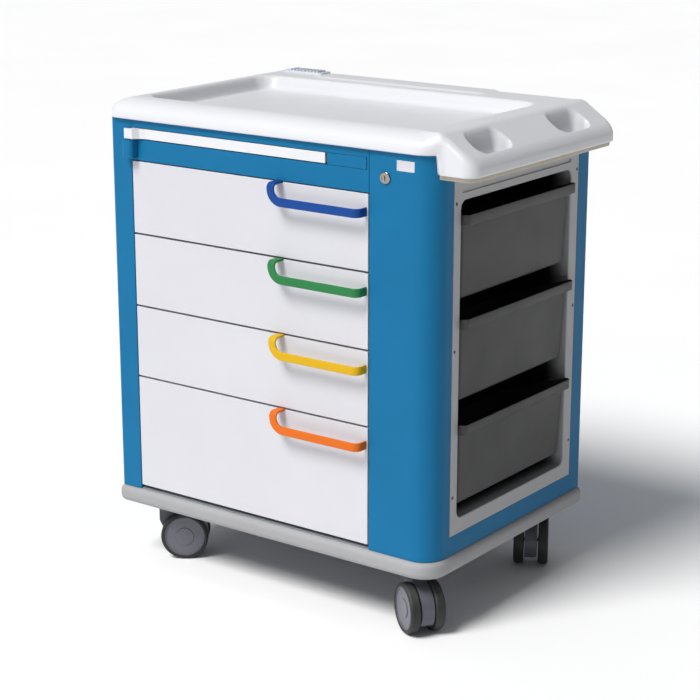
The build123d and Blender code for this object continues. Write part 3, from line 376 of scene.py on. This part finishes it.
# Rounded rectangles on the top, as low and high X, low and high Y, and the corners' radius.
WELL = (41.0, WIDTH - 40.0, 43.0, 443.0, 50.0)
WELL_DEPTH = 28.0
WELL_SLOPE = 27.0
PAD = (156.0, 585.0, 466.0, 530.0, 14.0)
PAD_HEIGHT = 2.8
SCOOP_CENTRES = (DEPTH / 2 - 142.5 - 9.0, DEPTH / 2 + 142.5 - 9.0)
SCOOP_SIDES = (WIDTH + 2.0, WIDTH + 57.0)
SCOOP_RADIUS = 24.0
SCOOP_FLOOR = SKIRT_FOOT + 3.0
# The outline: corners of the tray and of the handle's block, and how softly the two join.
LEFT_CORNER = 30.0
RIGHT_CORNER = 53.0
GRIP_INSET = 16.0
GRIP_CORNER = 28.0
JOIN_SOFTNESS = 14.0
SIDE_POINTS = (150, 60)
ARC_POINTS = 28
COLUMN_RADIUS = 45.0
BODY_RADIUS = 6.0


def rounded_loop(x0, x1, y0, y1, left_radius, right_radius):
    """Points round a rounded rectangle from above, anticlockwise, as many on a side in every loop."""
    # The front and back get closer points towards the push handle, where the shape changes fast.
    closer_from = 0.84
    coarse = np.linspace(0.0, closer_from, 90, endpoint=False)
    fine = np.linspace(closer_from, 1.0, 84, endpoint=False)
    along = np.concatenate([coarse, fine])
    back_along = 1.0 - np.concatenate([[1.0], along[:0:-1]])
    right_along = np.linspace(0.0, 1.0, SIDE_POINTS[0], endpoint=False)
    left_along = np.linspace(0.0, 1.0, SIDE_POINTS[1], endpoint=False)
    turn = np.linspace(0.0, math.pi / 2, ARC_POINTS, endpoint=False)
    lr, rr = left_radius, right_radius

    def arc(cx, cy, radius, start):
        return np.stack([cx + radius * np.cos(start + turn), cy + radius * np.sin(start + turn)], 1)

    def side(a, b, fractions):
        return np.asarray(a) + np.outer(fractions, np.subtract(b, a))

    return np.concatenate([
        side((x0 + lr, y0), (x1 - rr, y0), along),
        arc(x1 - rr, y0 + rr, rr, -math.pi / 2),
        side((x1, y0 + rr), (x1, y1 - rr), right_along),
        arc(x1 - rr, y1 - rr, rr, 0.0),
        side((x1 - rr, y1), (x0 + lr, y1), back_along),
        arc(x0 + lr, y1 - lr, lr, math.pi / 2),
        side((x0, y1 - lr), (x0, y0 + lr), left_along),
        arc(x0 + lr, y0 + lr, lr, math.pi),
    ])


def onto_body(points, grow):
    """The nearest points on the cabinet's outline, grown by an amount."""
    x0, x1, y0, y1 = -grow, WIDTH + grow, -grow, DEPTH + grow
    result = []
    for x, y in points:
        radius = grow + (COLUMN_RADIUS if x > WIDTH / 2 and y < DEPTH / 2 else BODY_RADIUS)
        near = np.array([
            min(max(x, x0 + radius), x1 - radius),
            min(max(y, y0 + radius), y1 - radius),
        ])
        away = np.array([x, y]) - near
        result.append(near + radius * away / max(np.hypot(*away), 1e-6))
    return np.array(result)


def tray_top(x, y):
    """The height of the tray's upper surface before its outer edge is rounded."""
    slope = CREST - (x - SLOPE_START) * (CREST - BREAK) / (END - SLOPE_START)
    blend = np.clip(0.5 + 0.5 * (slope - CREST) / CREST_SOFTNESS, 0.0, 1.0)
    height = slope * (1 - blend) + CREST * blend - CREST_SOFTNESS * blend * (1 - blend) * 0.5
    # The well, with sloping walls.
    height = height - WELL_DEPTH * smoothstep(0.0, WELL_SLOPE, -round_box(x, y, *WELL))
    # The raised pad on the rear ledge.
    height = height + PAD_HEIGHT * smoothstep(-1.0, 3.5, -round_box(x, y, *PAD))
    # Two hand scoops in the slope, steep under the outer lip and easy on the inner side.
    for centre in SCOOP_CENTRES:
        inside = -round_box(x, y, *SCOOP_SIDES, centre - 60.0, centre + 58.0, SCOOP_RADIUS)
        run = 28.0 - 18.0 * smoothstep(WIDTH + 18.0, WIDTH + 46.0, x)
        depth = smoothstep(0.0, 1.0, inside / run)
        height = height * (1 - depth) + SCOOP_FLOOR * depth
    return height


def edge_distance(x, y):
    """Distance to the moulding's outer edge, negative inside: tray and handle's block, softly joined."""
    corner = np.where(x > WIDTH / 2, RIGHT_CORNER, LEFT_CORNER)
    tray = round_box(x, y, -OVERHANG, WIDTH + OVERHANG, -OVERHANG, DEPTH + OVERHANG, corner)
    grip = round_box(x, y, WIDTH - 90.0, END, GRIP_INSET, DEPTH - GRIP_INSET, GRIP_CORNER)
    share = np.clip(0.5 + 0.5 * (grip - tray) / JOIN_SOFTNESS, 0.0, 1.0)
    return grip * (1 - share) + tray * share - JOIN_SOFTNESS * share * (1 - share)


def outer_edge(inner, target):
    """Where the way from each inner point to its target crosses the moulding's outer edge."""
    low = np.full(len(inner), 0.2)
    high = np.full(len(inner), 1.2)
    for _ in range(40):
        middle = (low + high) / 2
        points = inner + (target - inner) * middle[:, None]
        inside = edge_distance(points[:, 0], points[:, 1]) < 0
        low = np.where(inside, middle, low)
        high = np.where(inside, high, middle)
    return inner + (target - inner) * low[:, None]


def make_tray():
    """The moulded top as one closed skin, from its hidden underside out and over the rim into the well."""
    target = rounded_loop(-OVERHANG, END, -OVERHANG, DEPTH + OVERHANG, LEFT_CORNER, 40.0)
    floor = rounded_loop(72.0, WIDTH - 72.0, 74.0, 412.0, 22.0, 22.0)
    outline = outer_edge(floor, target)
    onto_grip = smoothstep(WIDTH - 4.0, WIDTH + 4.0, outline[:, 0])
    foot = TRAY_FOOT - (TRAY_FOOT - SKIRT_FOOT) * onto_grip
    hug = onto_body(outline, 0.8)

    def ring(points, heights):
        return np.column_stack([points, np.broadcast_to(heights, len(points))])

    def inset(amount):
        away = outline - hug
        return outline - away * (amount / np.maximum(np.hypot(away[:, 0], away[:, 1]), 1.0))[:, None]

    rings = [
        ring(hug, TRAY_FOOT + 0.3),
        ring(hug, foot + 0.25),
        ring(inset(2.2), foot + 0.25),
        ring(inset(0.7), foot + 0.9),
        ring(outline, foot + 2.4),
    ]
    # The edge's roundness: long and soft round the tray, tight on the block of the push handle.
    steps = 66
    crowding = 1.8
    wall_foot = foot + 2.4
    narrowing = smoothstep(WIDTH - 22.0, WIDTH + 14.0, outline[:, 0])
    wide = 50.0 - 34.0 * narrowing
    tall = 34.0 - 20.0 * narrowing
    wall_top = tray_top(outline[:, 0], outline[:, 1]) - tall
    for part in (0.33, 0.66):
        rings.append(ring(outline, wall_foot + (wall_top - wall_foot) * part))
    for k in range(steps + 1):
        t = (k / steps) ** crowding
        points = outline * (1 - t) + floor * t
        x, y = points[:, 0], points[:, 1]
        from_edge = np.maximum(-edge_distance(x, y), 0.0)
        rise = np.clip(1.0 - from_edge / wide, 0.0, 1.0)
        rings.append(ring(points, tray_top(x, y) - tall * (1.0 - np.sqrt(1.0 - rise**2))))
    vertices, faces = skin(rings)
    tray = mesh_piece("tray_moulding", [at(*v) for v in vertices], faces, "tray_white", "cabinet", 55.0)
    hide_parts("top_tray")


make_tray()


# ---------------------------------------------------------------- drawer handles


def make_strap(number, colour):
    """A strap handle: anchored on the right, straight, curved up at the left and bent back to the drawer."""
    node_low, node_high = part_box(f"drawer_handle_{number}")
    face = node_high.y
    half_width, half_thick = 8.5 * MM, 2.4 * MM
    clearance = 0.3 * MM
    reach = node_high.y - node_low.y - half_thick - clearance
    bend, sweep, fold = 13 * MM, 24 * MM, 9 * MM
    straight_steps = 24
    right = node_high.x - half_thick - clearance
    level = node_low.z + half_width
    top = node_high.z - 0.2 * MM
    frames = []

    def add(position, heading, normal):
        frames.append((Vector(position), Vector(heading).normalized(), Vector(normal).normalized()))

    add((right, face, level), (0, -1, 0), (1, 0, 0))
    for a in quarter_turn(12):
        place = (right - bend + bend * math.cos(a), face - (reach - bend) - bend * math.sin(a), level)
        add(place, (-math.sin(a), -math.cos(a), 0), (math.cos(a), -math.sin(a), 0))
    turn_x = node_low.x + half_width + sweep
    start_x = right - bend
    for k in range(1, straight_steps):
        x = start_x + (turn_x - start_x) * k / straight_steps
        add((x, face - reach, level), (-1, 0, 0), (0, -1, 0))
    for a in quarter_turn(18):
        place = (turn_x - sweep * math.sin(a), face - reach, level + sweep * (1 - math.cos(a)))
        add(place, (-math.cos(a), 0, math.sin(a)), (0, -1, 0))
    rise = max(top - half_thick - fold - (level + sweep), 0.0005)
    for a in quarter_turn(10):
        place = (
            turn_x - sweep,
            face - reach + fold * (1 - math.cos(a)),
            level + sweep + rise + fold * math.sin(a),
        )
        add(place, (0, math.sin(a), math.cos(a)), (0, -math.cos(a), math.sin(a)))
    add((turn_x - sweep, face, level + sweep + rise + fold), (0, 1, 0), (0, 0, 1))

    corner = 1.7 * MM
    section = []
    for cx, cy, start in ((1, 1, 0), (-1, 1, 90), (-1, -1, 180), (1, -1, 270)):
        for k in range(5):
            a = math.radians(start + 90 * k / 4)
            section.append((
                cx * (half_width - corner) + corner * math.cos(a),
                cy * (half_thick - corner) + corner * math.sin(a),
            ))
    rings = []
    for position, heading, normal in frames:
        across = normal.cross(heading)
        rings.append([position + across * u + normal * v for u, v in section])
    vertices, faces = skin([[tuple(p) for p in ring] for ring in rings])
    name, slot, body = f"strap_handle_{number}", f"handle_{colour}", f"drawer_{number}"
    strap = mesh_piece(name, vertices, faces, slot, body, 50.0)
    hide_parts(f"drawer_handle_{number}")


for number, colour in enumerate(("blue", "green", "yellow", "orange"), start=1):
    make_strap(number, colour)


# ---------------------------------------------------------------- side bins

# The lip's reach past the body's face, and how much longer the lip is at each end.
BIN_LIP = 16.0
LIP_WIDER = 2.0
BIN_HALF_LENGTH = 195.5
BIN_WALL = 2.5
BIN_TAPER = 6.0
# The low back: how far below the rim, how deep it is, and the run of the slope that leads up to the rim.
BACK_CUT = 44.0
BACK_LEDGE = 14.0
BACK_SLOPE = 32.0
PEG_RADIUS = 3.9
PEG_RISE = 12.0
PEG_BEHIND_FACE = 30.0
PEG_TIP = 201.0
WELD = 0.02 * MM


def plain_loop(x0, x1, y0, y1, radius):
    """A rounded rectangle from above with few points, anticlockwise from its front right corner."""
    turn = np.linspace(0.0, math.pi / 2, 10)
    corners = (
        (x1 - radius, y0 + radius, -math.pi / 2), (x1 - radius, y1 - radius, 0.0),
        (x0 + radius, y1 - radius, math.pi / 2), (x0 + radius, y0 + radius, math.pi),
    )
    return np.concatenate([
        np.stack([cx + radius * np.cos(start + turn), cy + radius * np.sin(start + turn)], 1)
        for cx, cy, start in corners
    ])


def make_bin(number):
    """A side bin: tapered walls, a flared lip with rolled edges and a low back in one skin, and two pegs."""
    node_low, node_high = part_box(f"side_bin_{number}")
    low = (node_low - CORNER) / MM
    high = (node_high - CORNER) / MM
    back, bottom, top = low.x, low.z, high.z
    face = high.x - BIN_LIP
    middle = (low.y + high.y) / 2
    front_end, back_end = middle - BIN_HALF_LENGTH, middle + BIN_HALF_LENGTH

    def rim(x):
        """The rim's height: level in front, sloping down to the low back."""
        return top - BACK_CUT * (1.0 - np.clip((x - back - BACK_LEDGE) / BACK_SLOPE, 0.0, 1.0))

    def ring(inset, height, radius, lip=0.0, ends=0.0):
        """A loop at a height, or at the rim where that is lower, grown by the lip in front and at the ends."""
        loop = plain_loop(
            back + inset, face - inset + lip, front_end + inset - ends, back_end - inset + ends, radius)
        return np.column_stack([loop, np.minimum(height, rim(loop[:, 0]))])

    inner = BIN_TAPER + BIN_WALL
    rings = [
        # Up the outside, from the rounded foot to the lip.
        ring(BIN_TAPER + 5.0, bottom, 5.0),
        ring(BIN_TAPER + 1.6, bottom + 1.2, 7.5),
        ring(BIN_TAPER, bottom + 5.0, 9.0),
        ring(1.2, top - 26.0, 9.0),
        ring(0.7, top - 21.5, 9.0),
        # Out under the lip and over its rolled edge.
        ring(0.3, top - 20.2, 9.0, 1.0, 0.4),
        ring(0.3, top - 19.8, 9.0, BIN_LIP - 1.2, LIP_WIDER - 0.8),
        ring(0.3, top - 18.4, 10.0, BIN_LIP + 0.1, LIP_WIDER + 0.1),
        ring(0.0, top - 1.3, 10.0, BIN_LIP - 0.1, LIP_WIDER),
        ring(0.3, top - 0.3, 10.0, BIN_LIP, LIP_WIDER),
        ring(0.9, top, 9.4, BIN_LIP, LIP_WIDER),
        ring(1.9, top - 0.2, 8.6, BIN_LIP, LIP_WIDER),
        # Down inside the lip.
        ring(BIN_WALL, top - 1.2, 8.0, BIN_LIP, LIP_WIDER),
        ring(BIN_WALL, top - 16.6, 8.0, BIN_LIP, LIP_WIDER),
        ring(BIN_WALL, top - 17.4, 7.0, BIN_LIP - 1.4, LIP_WIDER - 0.8),
        ring(BIN_WALL + 0.7, top - 17.6, 7.0, 0.8, 0.3),
        # Down the inner walls to the floor.
        ring(BIN_WALL + 1.0, top - 19.0, 7.0),
        ring(inner, bottom + BIN_WALL + 3.0, 6.5),
        ring(inner + 1.5, bottom + BIN_WALL + 0.6, 6.0),
        ring(inner + 4.0, bottom + BIN_WALL, 4.0),
    ]
    vertices, faces = skin(rings)
    name, body = f"bin_moulding_{number}", f"bin_{number}"
    piece = mesh_piece(name, [at(*v) for v in vertices], faces, "bin_grey", body, 50.0)
    form = bmesh.new()
    form.from_mesh(piece.data)
    # The rings meet along the low back, where their points are welded.
    bmesh.ops.remove_doubles(form, verts=form.verts, dist=WELD)
    bmesh.ops.dissolve_degenerate(form, edges=form.edges, dist=WELD)
    # The pegs, low in both ends.
    root = BIN_HALF_LENGTH - BIN_TAPER - 0.5
    length = PEG_TIP - root
    for end in (-1, 1):
        place = at(face - PEG_BEHIND_FACE, middle + end * (root + length / 2), bottom + PEG_RISE)
        turn = Matrix.Translation(place) @ Matrix.Rotation(math.pi / 2, 4, "X")
        bmesh.ops.create_cone(
            form, cap_ends=True, segments=24, radius1=PEG_RADIUS * MM, radius2=PEG_RADIUS * MM,
            depth=length * MM, matrix=turn,
        )
    bmesh.ops.recalc_face_normals(form, faces=form.faces)
    form.to_mesh(piece.data)
    form.free()
    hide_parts(f"side_bin_{number}")


for bin_number in (1, 2, 3):
    make_bin(bin_number)


# ---------------------------------------------------------------- label plate

# The plate's low and high X and Z on the right column's front, and its corners' radius.
PLATE = (701.0, 740.0, 783.0, 802.5, 1.2)


def make_label_plate():
    """A blank label plate with rounded corners on the front of the right column."""
    x0, x1, z0, z1, radius = PLATE
    rings = []
    for shrink, lift in ((0.0, 0.05), (0.0, 0.45), (0.35, 0.75), (1.6, 0.75), (1.9, 0.6)):
        loop = []
        for cx, cz, sx, sz, start in (
            (x1, z1, -1, -1, 0), (x0, z1, 1, -1, 90), (x0, z0, 1, 1, 180), (x1, z0, -1, 1, 270),
        ):
            for k in range(5):
                a = math.radians(start + 90 * k / 4)
                loop.append(at(
                    cx + sx * (radius + shrink) + radius * math.cos(a),
                    -lift,
                    cz + sz * (radius + shrink) + radius * math.sin(a),
                ))
        rings.append([tuple(p) for p in reversed(loop)])
    vertices, faces = skin(rings)
    faces = [tuple(reversed(face)) for face in faces]
    mesh_piece("label_plate", vertices, faces, "drawer_white", "cabinet", 30.0)


make_label_plate()


# ---------------------------------------------------------------- floor, light and camera

FLOOR_RADIUS = 60.0
FLOOR_TONES = ((0.93, 0.93, 0.935), (0.95, 0.95, 0.955))
# The surroundings' strength away from the bins and on their side.
SURROUNDINGS_BRIGHT = 0.36
SURROUNDINGS_DIM = 0.10
MIDDLE = (0.0, 0.0, 0.5)
CAMERA_PLACE = (2691.1, -2848.2, 1428.0)
CAMERA_TURN = 36.34
CAMERA_TILT = 15.78
CAMERA_LENS = 100.17


def make_floor():
    """A wide pale floor, faintly uneven."""
    mesh = bpy.data.meshes.new("floor")
    build = bmesh.new()
    bmesh.ops.create_circle(build, cap_ends=True, segments=96, radius=FLOOR_RADIUS)
    build.to_mesh(mesh)
    build.free()
    material = bpy.data.materials.new("studio_floor")
    material.use_nodes = True
    tree = material.node_tree
    coords = new_node(tree, "ShaderNodeTexCoord").outputs["Object"]
    cloud = ranged(tree, noise(tree, coords, 1.2, 4.0), 0.3, 0.7, 0.0, 1.0)
    colour = mixed(tree, cloud, *FLOOR_TONES)
    tree.links.new(colour, tree.nodes["Principled BSDF"].inputs["Base Color"])
    tree.nodes["Principled BSDF"].inputs["Roughness"].default_value = 0.75
    mesh.materials.append(material)
    floor = bpy.data.objects.new("floor", mesh)
    bpy.context.scene.collection.objects.link(floor)


def add_light(data, colour, place, aim):
    """A light, put at a place and turned to another."""
    data.color = colour
    light = bpy.data.objects.new(data.name, data)
    light.location = place
    light.rotation_mode = "QUATERNION"
    light.rotation_quaternion = (Vector(aim) - Vector(place)).to_track_quat("-Z", "Y")
    bpy.context.scene.collection.objects.link(light)


def make_lights():
    """A soft sun from the left and above, and a weak soft square light in front."""
    key = bpy.data.lights.new("key", "SUN")
    key.energy = 3.3
    key.angle = math.radians(24.0)
    add_light(key, (1.0, 0.99, 0.975), (-0.8, -3.1, 4.7), MIDDLE)
    fill = bpy.data.lights.new("fill", "AREA")
    fill.shape = "SQUARE"
    fill.size = 2.4
    fill.energy = 14.0
    add_light(fill, (0.95, 0.97, 1.0), (-0.6, -4.5, 1.6), MIDDLE)


def make_world():
    """Plain white surroundings, dimmer towards the side with the bins."""
    world = bpy.data.worlds.new("studio")
    bpy.context.scene.world = world
    world.use_nodes = True
    tree = world.node_tree
    background = tree.nodes["Background"]
    background.inputs["Color"].default_value = (0.93, 0.96, 1.0, 1.0)
    split = new_node(tree, "ShaderNodeSeparateXYZ")
    tree.links.new(new_node(tree, "ShaderNodeTexCoord").outputs["Generated"], split.inputs[0])
    strength = ranged(tree, split.outputs["X"], -0.2, 0.9, SURROUNDINGS_BRIGHT, SURROUNDINGS_DIM)
    tree.links.new(strength, background.inputs["Strength"])


def make_camera():
    """The camera, at the photograph's viewing angle."""
    data = bpy.data.cameras.new("camera")
    data.sensor_width = 36.0
    data.lens = CAMERA_LENS
    camera = bpy.data.objects.new("camera", data)
    camera.location = at(*CAMERA_PLACE)
    camera.rotation_euler = (math.pi / 2 - math.radians(CAMERA_TILT), 0.0, math.radians(CAMERA_TURN))
    bpy.context.scene.collection.objects.link(camera)
    bpy.context.scene.camera = camera


make_floor()
make_world()
make_lights()
make_camera()
bpy.context.scene.view_settings.view_transform = "Standard"
